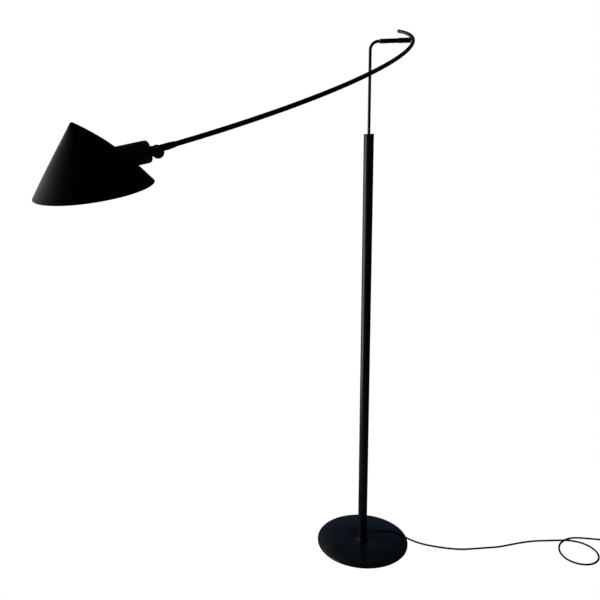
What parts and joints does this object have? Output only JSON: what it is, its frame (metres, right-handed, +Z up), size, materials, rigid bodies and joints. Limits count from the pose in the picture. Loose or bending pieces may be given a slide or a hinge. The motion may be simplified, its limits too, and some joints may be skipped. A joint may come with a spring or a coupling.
{
  "type": "adjustable arm floor lamp",
  "caption": "Floor lamp: disc base, thin post, sliding L-shaped rod, long curved tilting arm with a swivelling conical shade, cord and plug",
  "frame": {"origin": "on the floor under the middle of the round base, at the underside of its pad", "axes": "+Z up the post; +X to the right of the lamp as seen from the front; +Y to the back"},
  "size_m": [1.6169, 0.9851, 1.5542],
  "materials": {
    "disc_black": "satin",
    "post_black": "satin",
    "black_paint": "satin",
    "shade_black": "matte",
    "plastic": "matte",
    "rubber": "matte",
    "grey_rubber": "matte",
    "steel": "brushed",
    "brass": "polished",
    "porcelain": "glazed",
    "glass": "frosted",
    "cord": "satin",
    "wire": "satin"
  },
  "bodies": {
    "base": {"base_pad": "rubber", "base_plate": "disc_black", "fixing_bolt": "steel", "lock_washer": "steel", "foot_plug": "steel", "foot_collar": "post_black", "collar_screw": "steel", "post_tube": "post_black", "post_cap": "black_paint", "cord_gland": "plastic", "cord_clamp": "plastic", "post_wire": "cord", "power_cord": "cord", "cord_coil": "cord", "plug_lead": "cord", "strain_relief": "rubber", "plug_body": "plastic", "plug_pin_1": "brass", "plug_pin_2": "brass"},
    "slider": {"rod_guide": "plastic", "friction_ring": "rubber"},
    "rod": {"rod_tube": "black_paint", "rod_wire": "wire", "guide_clip_lower": "steel", "guide_clip_upper": "steel", "bar_collar": "steel", "bar_end_nut": "steel"},
    "arm": {"pivot_sleeve": "post_black", "arm_block": "black_paint", "arm_tube": "black_paint", "arm_wire": "wire", "arm_end_plug": "grey_rubber", "arm_ferrule": "black_paint", "ferrule_screw": "steel"},
    "fork": {"knuckle_fork": "black_paint", "friction_washer": "steel", "pivot_bolt": "steel", "pivot_nut": "steel"},
    "knob": {"clamp_knob": "black_paint"},
    "head": {"head_lug": "black_paint", "holder_cap": "black_paint", "holder_cup": "black_paint", "holder_core": "porcelain", "screw_shell": "brass", "centre_contact": "brass", "bulb_cap": "steel", "bulb_glass": "glass", "shade": "shade_black", "shade_screw_1": "steel", "shade_screw_2": "steel", "head_wire": "wire"}
  },
  "joints": [
    {"name": "rod_height", "type": "slide", "parent": "base", "child": "slider", "axis": [0, 0, 1], "range_m": [-0.19, 0.23]},
    {"name": "rod_swivel", "type": "hinge", "parent": "slider", "child": "rod", "pos_m": [0, 0, 1.2], "axis": [0, 0, 1], "range_deg": [-175, 175]},
    {"name": "arm_tilt", "type": "hinge", "parent": "rod", "child": "arm", "pos_m": [0.04983, -0.0041, 1.472], "axis": [-0.9966, 0.0819, 0], "range_deg": [-40, 45]},
    {"name": "head_roll", "type": "hinge", "parent": "arm", "child": "fork", "pos_m": [-0.44539, -0.60515, 1.18528], "axis": [-0.9249, -0.272, -0.2656], "range_deg": [-150, 150]},
    {"name": "head_tilt", "type": "hinge", "parent": "fork", "child": "head", "pos_m": [-0.46497, -0.61015, 1.17575], "axis": [-0.3244, 0.929, 0.1782], "range_deg": [-60, 36]},
    {"name": "knob_turn", "type": "hinge", "parent": "fork", "child": "knob", "pos_m": [-0.46497, -0.61015, 1.17575], "axis": [-0.3244, 0.929, 0.1782], "range_deg": [0, 270]}
  ]
}
